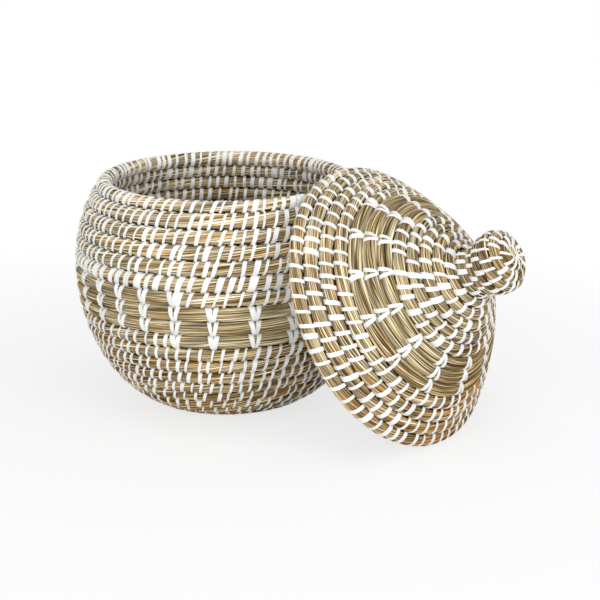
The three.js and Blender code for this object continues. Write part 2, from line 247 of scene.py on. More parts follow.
def course_at(coil, turn, depth):
    """Middle, half height and half depth of the course at a turn, and the radius that it is wound at."""
    low, high = course_edge(coil, turn), course_edge(coil, turn + 1)
    middle, half = (low + high) / 2, (high - low) / 2
    radius = np.maximum(np.interp(middle, coil["along"], coil["line"][:, 0]), 1)
    return middle, half, np.minimum(depth / 2, 2 * half), radius


print(f"a course of the wall is {2 * course_at(basket_coil, band_start, BUNDLE_DEPTH)[1]:.1f} mm high")

# %% [markdown]
# ## How the two things stand
#
# The lid stands on its edge and leans on the basket. Its points are worked out with its axis upright and
# then tilted, turned and moved to where the frame has it. An object could be turned instead, but then
# patterns on its own coordinates would turn with it, so the place goes into the mesh. Neither thing is
# quite true, as handmade ones aren't: the knob drifts a little sideways, and the basket sinks in front.

# %% Lean and settle
LEAN_TILT = np.radians(63.6)
LEAN_AZIMUTH = np.radians(-38.2)
LID_STANDS_AT = np.array([157.7, -88.5, 118.8])
KNOB_LEAN = 0.07
KNOB_LEAN_EASE = 12
RIM_TIP = 4.5
RIM_SINK = 1.5


def lean(points):
    """The knob drifts sideways over its foot. Then all points are tilted about Y, turned about Z and moved
    to where the lid stands."""
    over = np.maximum(points[..., 2] - LID_HEIGHT, 0)
    points = points - KNOB_LEAN * (over ** 2 / (over + KNOB_LEAN_EASE))[..., None] * np.array([1, 0, 0])
    tilt = np.array([
        [np.cos(LEAN_TILT), 0, np.sin(LEAN_TILT)],
        [0, 1, 0],
        [-np.sin(LEAN_TILT), 0, np.cos(LEAN_TILT)],
    ])
    turn = np.array([
        [np.cos(LEAN_AZIMUTH), -np.sin(LEAN_AZIMUTH), 0],
        [np.sin(LEAN_AZIMUTH), np.cos(LEAN_AZIMUTH), 0],
        [0, 0, 1],
    ])
    return points @ (turn @ tilt).T + LID_STANDS_AT


def settle(points):
    """The basket's own small lean: in step with its height, it rises at the back and sinks in front."""
    points = points.copy()
    _, y, z = np.moveaxis(points, -1, 0)
    points[..., 2] += z / RIM_LINE_HEIGHT * (RIM_TIP * y / RIM_LINE_RADIUS - RIM_SINK)
    return points


placed = {"basket": settle, "lid": lean}
print("the lid's axis points to", (lean(np.array([[0, 0, 1.0]])) - LID_STANDS_AT).round(3))

# %% [markdown]
# ## From arrays to pieces
#
# Each surface is a grid of points. bmesh could build it face by face, but a whole array at once is faster
# and easier to read. One function turns points and faces into a mesh object, checks which way the faces
# point by the volume they enclose, and sets the piece on its body of the frame.


# %% Mesh helpers
def faces_out(points, faces):
    """Faces turned so that they enclose a positive volume. The volume is one sixth of the sum of triple
    products, and only its sign is needed here."""
    volume = 0
    for group in faces:
        corners = points[group]
        for k in range(1, group.shape[1] - 1):
            triple = np.cross(corners[:, k], corners[:, k + 1])
            volume += np.einsum("ij,ij->", corners[:, 0], triple)
    return faces if volume > 0 else [group[:, ::-1] for group in faces]


def add_piece(name, points, faces, body, finish, uv=None, marks=None, stands_for=(), crisp=0):
    """A mesh object at the origin, in metres. uv and marks hold one row or value for each point. crisp is
    the number of columns of a section whose corners stay sharp."""
    points = np.asarray(points, float).reshape(-1, 3)
    faces = faces_out(points, faces)
    mesh = bpy.data.meshes.new(name)
    mesh.from_pydata(points * MM, [], [face for group in faces for face in group.tolist()])
    corners = np.concatenate([group.ravel() for group in faces])
    if uv is not None:
        layer = mesh.uv_layers.new(name="UVMap")
        layer.data.foreach_set("uv", uv[corners].astype(np.float32).ravel())
    for mark, values in (marks or {}).items():
        is_vector = np.size(values) == 3 * len(points)
        attribute = mesh.attributes.new(mark, "FLOAT_VECTOR" if is_vector else "FLOAT", "POINT")
        attribute.data.foreach_set("vector" if is_vector else "value", np.asarray(values, np.float32).ravel())
    mesh.polygons.foreach_set("use_smooth", np.ones(len(mesh.polygons), bool))
    if crisp:
        ends = np.empty(2 * len(mesh.edges), np.int32)
        mesh.edges.foreach_get("vertices", ends)
        column = ends.reshape(-1, 2) % crisp
        sharp = mesh.attributes.new("sharp_edge", "BOOLEAN", "EDGE")
        sharp.data.foreach_set("value", column[:, 0] == column[:, 1])
    mesh.materials.append(finish)
    mesh.update()
    piece = bpy.data.objects.new(name, mesh)
    bpy.context.scene.collection.objects.link(piece)
    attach(piece, body)
    if stands_for:
        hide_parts(*stands_for)
    print(f"{name}: {len(points)} points, {len(mesh.polygons)} faces")


def tube_faces(rows, columns):
    """Quads of a grid that closes round its columns, and a cap at either end."""
    row, column = np.arange(rows - 1)[:, None], np.arange(columns)[None]
    after = (column + 1) % columns
    here, there = row * columns, (row + 1) * columns
    quads = np.stack([here + column, here + after, there + after, there + column], axis=-1).reshape(-1, 4)
    first = np.arange(columns)[None, ::-1]
    last = (rows - 1) * columns + np.arange(columns)[None]
    return [quads, np.concatenate([first, last])]


# %% [markdown]
# ## Small helpers for finishes
#
# A finish is a tree of nodes. Its colours are written as sRGB hex values, as a colour picker shows them,
# and Blender's sockets want linear light, so one function converts them. Another adds a node, sets it and
# links it in one line, which keeps each finish short enough to read.


# %% Node helpers
def linear(hex_colour):
    """sRGB hex to linear RGBA."""
    srgb = np.array([int(hex_colour[k:k + 2], 16) for k in (1, 3, 5)]) / 255
    rgb = np.where(srgb <= 0.04045, srgb / 12.92, ((srgb + 0.055) / 1.055) ** 2.4)
    return (*rgb.tolist(), 1.0)


def add_node(tree, kind, inputs=None, **settings):
    """Adds a node with its settings. Each input is a value, or the socket that feeds it."""
    node = tree.nodes.new(kind)
    for name, value in settings.items():
        setattr(node, name, value)
    for name, value in (inputs or {}).items():
        if isinstance(value, bpy.types.NodeSocket):
            tree.links.new(value, node.inputs[name])
        else:
            node.inputs[name].default_value = value
    return node


def set_ramp(node, stops):
    """Gives a colour ramp its stops, pairs of a place and a hex colour."""
    elements = node.color_ramp.elements
    while len(elements) < len(stops):
        elements.new(1.0)
    for element, (position, colour) in zip(elements, stops):
        element.position = position
        element.color = linear(colour)


print("middle grey in linear light:", round(linear("#808080")[0], 3))

# %% [markdown]
# ## Dry seagrass
#
# The bundles are dry seagrass, split and twisted together. To the eye that gives blades of mixed straw,
# olive and brown, fine ribs along each blade, dark creases where one blade lies under another, and hardly
# any gloss. A stripe texture laid on from outside would slide where the bundle bends. So the mesh brings
# its own marks: `grain` is a place on a straight bundle, in metres, and noise stretched along it gives
# blades, ribs and batches. `tone` says how light each blade is, partly with painted shade, and `ripe` how
# orange. The third mark is painted shade: it darkens the creases between blades, the blades that sink
# under others and the grooves between courses.

# %% Seagrass
BLADE_GRAIN = dict(length=50, width=1.1, detail=2.0)
# real ribs are about 0.3 mm apart; these are drawn three times as coarse, so that they show
RIB_GRAIN = dict(length=40, width=0.9, detail=1.0)
BATCH_GRAIN = dict(length=110, width=9, detail=2.0)


def seagrass(name, blade_colours, warm_colour, warm_share):
    """Dry split seagrass: blades of mixed colour, fine ribs along them, painted shade in creases and grooves.
    """
    material = bpy.data.materials.new(name)
    material.use_nodes = True
    tree = material.node_tree
    shader = tree.nodes["Principled BSDF"]
    grain = add_node(tree, "ShaderNodeAttribute", attribute_name="grain").outputs["Vector"]
    noises = []
    for size in (BLADE_GRAIN, RIB_GRAIN, BATCH_GRAIN):
        scale = (1 / size["length"] / MM, 1 / size["width"] / MM, 1 / size["width"] / MM)
        stretched = add_node(tree, "ShaderNodeMapping", {"Vector": grain, "Scale": scale}).outputs["Vector"]
        noise = add_node(tree, "ShaderNodeTexNoise", {
            "Vector": stretched, "Scale": 1.0, "Detail": size["detail"]})
        noises.append(noise.outputs["Fac"])
    blade, rib, batch = noises
    tone = add_node(tree, "ShaderNodeAttribute", attribute_name="tone").outputs["Fac"]
    painted_crease_shade = add_node(tree, "ShaderNodeAttribute", attribute_name="painted_crease_shade").outputs["Fac"]

    shade = add_node(tree, "ShaderNodeMath", {0: blade, 1: tone}, operation="ADD")
    colours = add_node(tree, "ShaderNodeValToRGB", {"Fac": shade.outputs["Value"]})
    set_ramp(colours, blade_colours)
    warm = add_node(tree, "ShaderNodeMapRange", {
        "Value": batch, "From Min": 0.48, "From Max": 0.66, "To Min": 0.0, "To Max": warm_share})
    ripe = add_node(tree, "ShaderNodeAttribute", attribute_name="ripe").outputs["Fac"]
    orange = add_node(tree, "ShaderNodeMath", {
        0: warm.outputs["Result"], 1: ripe}, operation="ADD", use_clamp=True)
    warmed = add_node(tree, "ShaderNodeMix", {
        0: orange.outputs["Value"], 6: colours.outputs["Color"], 7: linear(warm_colour)}, data_type="RGBA")
    ribbed = add_node(tree, "ShaderNodeMapRange", {
        "Value": rib, "From Min": 0.36, "From Max": 0.6, "To Min": 0.38, "To Max": 1.3})
    # Painted shade: a high crease mark darkens the colour down to 4 percent, in creases and grooves.
    painted_shade_factor = add_node(tree, "ShaderNodeMapRange", {
        "Value": painted_crease_shade, "From Min": 0.2, "From Max": 0.85, "To Min": 1.0, "To Max": 0.04})
    light = add_node(tree, "ShaderNodeMath", {
        0: ribbed.outputs["Result"], 1: painted_shade_factor.outputs["Result"]}, operation="MULTIPLY")
    colour = add_node(tree, "ShaderNodeVectorMath", {
        0: warmed.outputs[2], "Scale": light.outputs["Value"]}, operation="SCALE")
    tree.links.new(colour.outputs["Vector"], shader.inputs["Base Color"])
    bump = add_node(tree, "ShaderNodeBump", {"Height": rib, "Strength": 0.5, "Distance": 0.3 * MM})
    tree.links.new(bump.outputs["Normal"], shader.inputs["Normal"])
    shader.inputs["Roughness"].default_value = 0.7
    shader.inputs["Specular IOR Level"].default_value = 0.05
    shader.inputs["IOR"].default_value = 1.45
    return material


wrapped_grass = seagrass(
    "dry seagrass, wrapped",
    [(0.26, "#6b5734"), (0.37, "#b39a6e"), (0.46, "#dbc79c"), (0.55, "#eadab4"), (0.7, "#f6ecd0")],
    "#dba35c", 0.25)
bare_grass = seagrass(
    "dry seagrass, bare",
    [(0.26, "#6b5836"), (0.37, "#b8a274"), (0.45, "#dccaa0"), (0.54, "#ebdcb8"), (0.7, "#f5ebd0")],
    "#dcaa62", 0.2)
print("grass finishes:", wrapped_grass.name, "and", bare_grass.name)

# %% [markdown]
# ## White binding strip
#
# The strip is a flat extruded plastic ribbon. That gives the eye a clean satin white with faint streaks
# along it, and no two stitches quite alike. A plain white would clip and look like paper. So noise
# stretched along the strip's own UV map, in metres, varies the white a little, and each stitch has a tone.

# %% Binding strip
STREAK_LENGTH, STREAK_WIDTH = 30, 0.6


def binding_strip(name):
    """Flat white plastic strip, extruded: a satin face with faint streaks along it."""
    material = bpy.data.materials.new(name)
    material.use_nodes = True
    tree = material.node_tree
    shader = tree.nodes["Principled BSDF"]
    uv = add_node(tree, "ShaderNodeUVMap", uv_map="UVMap").outputs["UV"]
    grain = add_node(tree, "ShaderNodeMapping", {
        "Vector": uv, "Scale": (1 / STREAK_LENGTH / MM, 1 / STREAK_WIDTH / MM, 1)})
    streak = add_node(tree, "ShaderNodeTexNoise", {
        "Vector": grain.outputs["Vector"], "Scale": 1.0, "Detail": 1.0})
    tone = add_node(tree, "ShaderNodeAttribute", attribute_name="tone").outputs["Fac"]
    shade = add_node(tree, "ShaderNodeMath", {0: streak.outputs["Fac"], 1: tone}, operation="ADD")
    colours = add_node(tree, "ShaderNodeValToRGB", {"Fac": shade.outputs["Value"]})
    set_ramp(colours, [(0.25, "#d8d9d7"), (0.5, "#ebecea"), (0.75, "#f5f5f4")])
    tree.links.new(colours.outputs["Color"], shader.inputs["Base Color"])
    bump = add_node(tree, "ShaderNodeBump", {
        "Height": streak.outputs["Fac"], "Strength": 0.25, "Distance": 0.15 * MM})
    tree.links.new(bump.outputs["Normal"], shader.inputs["Normal"])
    shader.inputs["Roughness"].default_value = 0.42
    shader.inputs["IOR"].default_value = 1.49
    return material


white_strip = binding_strip("white plastic strip, satin")
print("strip finish:", white_strip.name)

# %% [markdown]
# ## Where the stitches go
#
# A maker sews at an even spacing, a little unevenly, and pulls each stitch tight, so the bundle is narrower
# under it. The stitches come first, because the bundles need to know where they are pinched. The count of
# stitches up to a turn is the sum of one over the spacing, and a stitch sits halfway between two whole
# numbers of it. An array modifier would space them evenly, but not along a spiral that widens. On the
# wall a fixed count a turn keeps the stitches in slanting columns. On the lid each stitch drifts to the
# gap between two stitches of the course before, as on the real one.

# %% Spacing of the stitches
WALL_COLUMNS = 83.87
WALL_COLUMNS_FROM = 8.5
HEART_STITCHES = 10
CROWD = 0.45
CROWD_TURNS = 0.05
SPACING_WANDER = 0.1
STAGGER_PULL = 0.34
CLOSEST = 0.74
SLANT = dict(base=4.5, lower_wall=4.5, upper_wall=7.5, knob=6, lid_crown=6, lid_edge=6)
TURN_SAMPLES = 6000


def stagger(turns, slant_share):
    """Each stitch drifts to where its foot is halfway between the tops of two stitches one course before,
    but never too close to the stitch that it follows."""
    turns = turns.copy()
    for k in range(len(turns) - 1):
        step = turns[k + 1] - turns[k]
        after = np.searchsorted(turns[:k], turns[k] - 1 - slant_share * step)
        if 0 < after < k:
            wanted = (turns[after - 1] + turns[after]) / 2 + 1 + slant_share * step
            turns[k] += STAGGER_PULL * (wanted - turns[k])
            turns[k] = max(turns[k], turns[k - 1] + CLOSEST * step)
    return turns


def stitch_turns(coil, start, end, depth, spacing, columns, slant):
    """Turns of the stitches: the running sum of 1 / spacing, read back halfway between whole numbers, with
    a little wandering."""
    turn = np.linspace(start, end, TURN_SAMPLES)
    between = (turn[1:] + turn[:-1]) / 2
    radius = course_at(coil, between, depth)[3]
    step = np.minimum(spacing / (2 * np.pi * radius), 1 / HEART_STITCHES)
    if columns:
        step = np.where(between > WALL_COLUMNS_FROM, 1 / columns, step)
    step = step * np.where(between > coil["turns"] - CROWD_TURNS, CROWD, 1)
    count = np.concatenate([[0], np.cumsum(np.diff(turn) / step)])
    halves = np.arange(0.5, count[-1])
    turns = np.interp(halves + draw.normal(0, SPACING_WANDER, len(halves)), count, turn)
    if columns:
        return turns
    turns = stagger(turns, slant * depth / BUNDLE_DEPTH / spacing)
    return turns[turns < end]


# %% Stitches of each wrapped length
STITCH_GAP = 10.5
LID_STITCH_GAP = 12.6
KNOB_STITCH_GAP = 9
rim_end = basket_turns - END_CUT_TURNS
lid_end = lid_turns - END_CUT_TURNS
wrapped_lengths = {
    "base": (basket_coil, 0, BASE_COURSES, BUNDLE_DEPTH, STITCH_GAP, WALL_COLUMNS),
    "lower_wall": (basket_coil, BASE_COURSES, band_start, BUNDLE_DEPTH, STITCH_GAP, WALL_COLUMNS),
    "upper_wall": (basket_coil, band_end, rim_end, BUNDLE_DEPTH, STITCH_GAP, WALL_COLUMNS),
    "knob": (lid_coil, 0, KNOB_COURSES, KNOB_BUNDLE_DEPTH, KNOB_STITCH_GAP, None),
    "lid_crown": (lid_coil, KNOB_COURSES, lid_band_start, LID_BUNDLE_DEPTH, LID_STITCH_GAP, None),
    "lid_edge": (lid_coil, lid_band_end, lid_end, LID_BUNDLE_DEPTH, LID_STITCH_GAP, None),
}
body_of_part = {part: "basket" if row[0] is basket_coil else "lid" for part, row in wrapped_lengths.items()}
stitches = {}
for part, (coil, start, end, depth, gap, columns) in wrapped_lengths.items():
    stitches[part] = stitch_turns(coil, start, end, depth, gap, columns, SLANT[part])
    print(part, "has", len(stitches[part]), "stitches")

# %% [markdown]
# ## The grass bundles
#
# A bundle could be a smooth tube with a stripe texture, but the strands show as ridges, and they catch the
# light. So the section is a rounded box, and round it each strand is a ridge of three columns of points: a
# crease and the two shoulders of a flat crest. Along the bundle the strands wander sideways, rise and
# sink, so no two stretches are the same.

# %% Sweep of a bundle
WRAPPED_FORM = dict(strands=28, ridge=0.65, roundness=2.15, press=0.15, twist=0.016,
                    groove_shade_from=0.7, groove_shade_to=0.95)
BARE_FORM = dict(strands=44, ridge=0.8, roundness=2.35, press=0.2, twist=0.005,
                 groove_shade_from=0.76, groove_shade_to=0.98)
LID_BARE_FORM = dict(strands=40, ridge=0.8, roundness=2.6, press=0.3, twist=0.005,
                     groove_shade_from=0.82, groove_shade_to=1.0)
BLADE_ACROSS = np.array([0.0, 0.2, 0.8])
BLADE_RISE = np.array([0.0, 1.0, 0.9])
BLADE_WIDTHS = (0.5, 1.5)
RIDGE_MIDDLE = 0.5
WANDER, WANDER_LENGTHS = 0.14, (20, 45)
SINK, SINK_LENGTHS = 0.4, (12, 30)
SUNK_BLADE_PAINTED_LIGHT = 0.4
TONE_ALONG, TONE_LENGTHS, TONE_SPREAD = 0.05, (15, 45), 0.06
RIPE_ALONG, RIPE_LENGTHS = 0.3, (15, 40)
RIPE_FROM, RIPE_TO = 0.62, 0.95


def section(angle, roundness):
    """Rounded box of half size 1: cosine and sine, each to the power of two over the box's roundness."""
    power = 2 / roundness
    across, up = np.cos(angle), np.sin(angle)
    return np.sign(across) * np.abs(across) ** power, np.sign(up) * np.abs(up) ** power


def bundle(coil, turn, depth, squeeze, form):
    """Grid of a bundle, with its marks: the rounded box times the course's half sizes, plus a ridge for each
    strand. Rows are the turns given, columns go round the strands."""
    middle, half, deep, _ = course_at(coil, turn, depth)
    centre = place(coil, turn, middle, 0)
    run = np.concatenate([[0], np.cumsum(np.linalg.norm(np.diff(centre, axis=0), axis=1))])[:, None]

    strands = form["strands"]
    widths = draw.uniform(*BLADE_WIDTHS, strands)
    ends = np.concatenate([[0], np.cumsum(widths)]) / widths.sum()
    strand = np.repeat(np.arange(strands), len(BLADE_ACROSS))
    across = np.tile(BLADE_ACROSS, strands)
    crest = np.tile(BLADE_RISE, strands)
    share = ends[strand] + (ends[strand + 1] - ends[strand]) * across
    angle = 2 * np.pi * share + form["twist"] * run
    for waves in (1, 2, 3):
        length, phase = draw.uniform(*WANDER_LENGTHS), draw.uniform(0, 2 * np.pi)
        angle = angle + WANDER / waves * np.sin(2 * np.pi * waves * share + run / length + phase)

    def strand_wave(lengths):
        """A slow wave along each strand: the sine of the run over a length of its own."""
        own_length = draw.uniform(*lengths, strands)
        own_start = draw.uniform(0, 2 * np.pi, strands)
        return np.sin(run / own_length[strand] + own_start[strand])

    rise = 1 - SINK + SINK * strand_wave(SINK_LENGTHS)
    lift = form["ridge"] * (crest * rise - RIDGE_MIDDLE)
    box_out, box_up = section(angle, form["roundness"])
    out = (deep * squeeze)[:, None] * box_out + lift * np.cos(angle)
    along = middle[:, None] + ((half + form["press"]) * squeeze)[:, None] * box_up + lift * np.sin(angle)
    points = place(coil, turn[:, None] + 0 * angle, np.maximum(along, 0), out)

    round_radius = depth / 2
    grain = np.stack([run + 0 * angle,
                      round_radius * np.cos(2 * np.pi * share) + 0 * angle,
                      round_radius * np.sin(2 * np.pi * share) + 0 * angle], axis=-1) * MM
    tone = TONE_ALONG * strand_wave(TONE_LENGTHS) + draw.normal(0, TONE_SPREAD, strands)[strand]
    # Painted shade: the grass darkens towards the top and bottom of each course, in the groove that the next
    # course shades, but not on top of the last course, which nothing covers. Creases between blades and
    # blades that sink under others are painted darker too.
    groove_shade = smoothstep(np.abs(np.sin(angle)), form["groove_shade_from"], form["groove_shade_to"])
    last_covered = coil["turns"] - 1 - END_CUT_TURNS
    covered = 1 - smoothstep(turn, last_covered - END_CUT_TURNS, last_covered)[:, None]
    groove_shade = np.where(np.sin(angle) > 0, covered * groove_shade, groove_shade)
    painted_crease_shade = np.maximum(1 - crest * (SUNK_BLADE_PAINTED_LIGHT + (1 - SUNK_BLADE_PAINTED_LIGHT) * rise), groove_shade)
    ripe = RIPE_ALONG * strand_wave(RIPE_LENGTHS) + draw.random(strands)[strand]
    ripe = smoothstep(ripe, RIPE_FROM, RIPE_TO)
    return points, {"tone": tone, "painted_crease_shade": painted_crease_shade, "grain": grain, "ripe": ripe}


print(f"a wrapped strand is about {np.pi * BUNDLE_DEPTH / WRAPPED_FORM['strands']:.1f} mm wide")

# %% [markdown]
# ## The wrapped bundles
#
# These are the wall, the base, the knob, the crown and the lid's edge. Each is swept with a row of points
# at every stitch, where the strip pinches it, and one between two stitches, where it swells. A bump
# texture could draw the pinches, but they show in the outline of a course, so they are in the shape. At
# the start of a coil a thin tail goes on inwards, as the real bundle tapers to its folded heart. Each
# length has its own tone, partly from another batch of grass and partly painted shade. Low on the basket
# and at the lid's lower right the grass is riper and more orange, and darker, which is partly painted shade.

# %% Wrapped bundles
SWELL, PINCH, PINCH_REACH = 1.02, 0.08, 2.6
GROUND_CLEAR = 0.7
HEART_STEPS = 28
HEART_TAIL_TURNS = 0.45
LEAST_STEP = 1e-4
# Each length's tone is partly its own batch of grass and partly painted shade, darkest on the knob and low on
# the basket; where the grass is riper it is painted darker too, partly as shade.
BATCH_TONE_AND_SHADE = dict(base=-0.075, lower_wall=-0.07, band=-0.06, upper_wall=-0.025,
                  knob=-0.085, lid_crown=-0.06, lid_band=-0.045, lid_edge=-0.01)
LOW_RIPE_AND_SHADE, LOW_HEIGHTS = 0.2, (20, 110)
RIGHT_RIPE_AND_SHADE, RIGHT_REACH = 0.25, (60, 200)
RIPE_BLADE, RIPER_FLOOR, RIPER_TONE_AND_SHADE = 0.4, 0.4, 0.3


def stand_on_ground(points, clear):
    """What would sink into the ground is pressed flat on it."""
    points[..., 2] = np.maximum(points[..., 2], clear)
    return points


def riper_and_shaded(points):
    """Riper grass and painted shade: a little low on the basket, more at the lid's lower right edge."""
    x, _, z = np.moveaxis(points, -1, 0)
    low = 1 - smoothstep(z, *LOW_HEIGHTS)
    right = smoothstep(x - z, *RIGHT_REACH)
    return LOW_RIPE_AND_SHADE * low + RIGHT_RIPE_AND_SHADE * right


for part, (coil, start, end, depth, _, _) in wrapped_lengths.items():
    at = stitches[part]
    tail = HEART_TAIL_TURNS if start == 0 else 0
    fill = np.arange(start - tail, min(end, BASE_COURSES), 1 / HEART_STEPS)
    turn = np.unique(np.concatenate([[start - tail, end], at, (at[1:] + at[:-1]) / 2, fill]))
    turn = turn[np.concatenate([[True], np.diff(turn) > LEAST_STEP])]
    radius = course_at(coil, turn, depth)[3]
    away = np.abs(turn[:, None] - at[None]).min(axis=1) * 2 * np.pi * radius
    squeeze = SWELL - PINCH * np.exp(-((away / PINCH_REACH) ** 2))
    points, marks = bundle(coil, turn, depth, squeeze, WRAPPED_FORM)
    body = body_of_part[part]
    points = stand_on_ground(placed[body](points), GROUND_CLEAR)
    marks["ripe"] = RIPE_BLADE * marks["ripe"] + riper_and_shaded(points) * (RIPER_FLOOR + marks["ripe"])
    # Painted shade: the tone goes down by length and where the grass is riper, low on the basket and at the
    # lid's lower right.
    marks["tone"] = marks["tone"] + BATCH_TONE_AND_SHADE[part] - RIPER_TONE_AND_SHADE * riper_and_shaded(points)
    add_piece(f"{part}_grass", points, tube_faces(*points.shape[:2]), body, wrapped_grass,
              marks=marks, stands_for=[f"{part}_coil"])

# %% [markdown]
# ## The hearts
#
# A maker folds the end of the first bundle into a tight knob, the heart, and winds the coil round it. The
# sweep could run on into the axis, but a spiral of no radius folds through itself. A small ribbed dome in
# the middle closes the coil as the real fold does.

# %% Hearts of the coils
HEART_RADIUS = 3
HEART_HALF_HEIGHT = 0.47
HEART_RINGS, HEART_COLUMNS = 7, 36
HEART_RIB = 0.25
HEART_SIDE_POWER, HEART_TOP_POWER = 0.6, 0.7
HEART_PAINTED_SHADE, HEART_RIB_PAINTED_SHADE = 0.2, 0.5
HEART_TONE_SPREAD = 0.1


def heart(coil, depth):
    """Folded start of the bundle in the middle of the first turn: a low ribbed dome, its radius a power of
    the sine and its height a power of the cosine of the way from top to bottom."""
    ring = np.linspace(0, 1, HEART_RINGS)
    column_angle = np.linspace(0, 2 * np.pi, HEART_COLUMNS, False)
    share, angle = np.meshgrid(ring, column_angle, indexing="ij")
    dome = np.sin(np.pi * share)
    side = np.cos(np.pi * share)
    on_rib = np.arange(HEART_COLUMNS) % 2
    middle = coil["line"][0, 1]
    radius = (HEART_RADIUS + HEART_RIB * on_rib) * dome ** HEART_SIDE_POWER
    height = middle + HEART_HALF_HEIGHT * depth * np.sign(side) * np.abs(side) ** HEART_TOP_POWER
    points = np.stack([radius * np.cos(angle), radius * np.sin(angle), height], axis=-1)
    # Painted shade: every other column, along the folds of the heart, is darker.
    painted_crease_shade = HEART_PAINTED_SHADE + HEART_RIB_PAINTED_SHADE * on_rib + 0 * share
    grain = np.stack([radius, HEART_RADIUS * angle, 0 * angle], axis=-1) * MM
    tone = draw.normal(0, HEART_TONE_SPREAD, share.shape)
    return points, {"tone": tone, "painted_crease_shade": painted_crease_shade, "grain": grain, "ripe": 0 * share}


for part in ("base", "knob"):
    coil, _, _, depth, *_ = wrapped_lengths[part]
    points, marks = heart(coil, depth)
    points = stand_on_ground(placed[body_of_part[part]](points), GROUND_CLEAR)
    add_piece(f"{part}_heart", points, tube_faces(*points.shape[:2]), body_of_part[part],
              wrapped_grass, marks=marks)

# %% [markdown]
# ## The bare bands
#
# The bands have no wrap. Their bundles are looser and flatter, with more strands, and swell between the
# columns of V stitches that hold them. The same sweep makes them, with another form and with the pinch at
# the columns only. The columns are even, with a slow waver, as the eye of a maker sets them.

# %% Bare bundles
STITCH_COLUMNS, LID_STITCH_COLUMNS = 28, 14
COLUMN_WAVER = 2.5
WAVERS_AROUND, LID_WAVERS_AROUND = 4, 2
BARE_ROW_STEP = 4.5
BARE_SWELL, BARE_PINCH, BARE_PINCH_REACH = 1.03, 0.13, 6
BARE_RIPE_BLADE, BARE_RIPER = 0.2, 0.3


def chain_turns(start, columns, wavers):
    """Turns of the columns: even, plus a slow waver of one minus a cosine."""
    column = np.arange(columns)
    wave = 1 - np.cos(2 * np.pi * wavers * column / columns)
    return start + column / columns + COLUMN_WAVER / 360 * wave


band_columns = chain_turns(band_start, STITCH_COLUMNS, WAVERS_AROUND)
lid_band_columns = chain_turns(lid_band_start, LID_STITCH_COLUMNS, LID_WAVERS_AROUND)
bands = {
    "band": (basket_coil, band_start, BUNDLE_DEPTH, band_columns, "basket", BARE_FORM),
    "lid_band": (lid_coil, lid_band_start, LID_BUNDLE_DEPTH, lid_band_columns, "lid", LID_BARE_FORM),
}
for part, (coil, start, depth, columns, body, form) in bands.items():
    length = 2 * np.pi * course_at(coil, start + BAND_COURSES / 2, depth)[3] * BAND_COURSES
    turn = np.linspace(start, start + BAND_COURSES, int(length / BARE_ROW_STEP))
    radius = course_at(coil, turn, depth)[3]
    held = np.concatenate([columns + course for course in range(-1, BAND_COURSES + 1)])
    away = np.abs(turn[:, None] - held[None]).min(axis=1) * 2 * np.pi * radius
    squeeze = BARE_SWELL - BARE_PINCH * np.exp(-((away / BARE_PINCH_REACH) ** 2))
    points, marks = bundle(coil, turn, depth, squeeze, form)
    points = placed[body](points)
    marks["ripe"] = BARE_RIPE_BLADE * marks["ripe"] + BARE_RIPER * riper_and_shaded(points)
    # Painted shade: the band's tone goes down, and more where the grass is riper.
    marks["tone"] = marks["tone"] + BATCH_TONE_AND_SHADE[part] - RIPER_TONE_AND_SHADE * riper_and_shaded(points)
    add_piece(f"{part}_grass", points, tube_faces(*points.shape[:2]), body, bare_grass,
              marks=marks, stands_for=[f"{part}_coil"])

# %% [markdown]
# ## A ribbon round a bundle
#
# Each stitch is a flat strip that goes once round the bundle: it starts under the course, climbs the
# outside with a lean, crosses the top and runs on inside to the foot of the next stitch. A curve object
# with a bevel could draw it, but it would twist where the path turns. Here the path lies on the bundle's
# own section, so the strip stays flat on the grass. Its section has four corners, two of them close to
# the edges, so that it looks flat and a ribbon that is repeated over a thousand times stays small.

# %% Ribbons round a bundle
RIBBON_PATH = np.radians(np.linspace(-80, 285, 14))
RIBBON_SECTION = np.array([(-0.5, 0), (-0.47, 1), (0.47, 1), (0.5, 0)])
FOOT_DROP = dict(base=0.15, lower_wall=0.15, band=0.15, upper_wall=0.15,
                 knob=0.4, lid_crown=0.12, lid_band=0.1, lid_edge=0.14)
STRIP_THICKNESS = 0.6
STRIP_CLEAR = 0.05
STREAKS_APART = 100
STRIP_TONE_SPREAD = 0.08


def unit(vectors):
    """Vectors of length 1."""
    return vectors / np.maximum(np.linalg.norm(vectors, axis=-1, keepdims=True), NO_STEP)


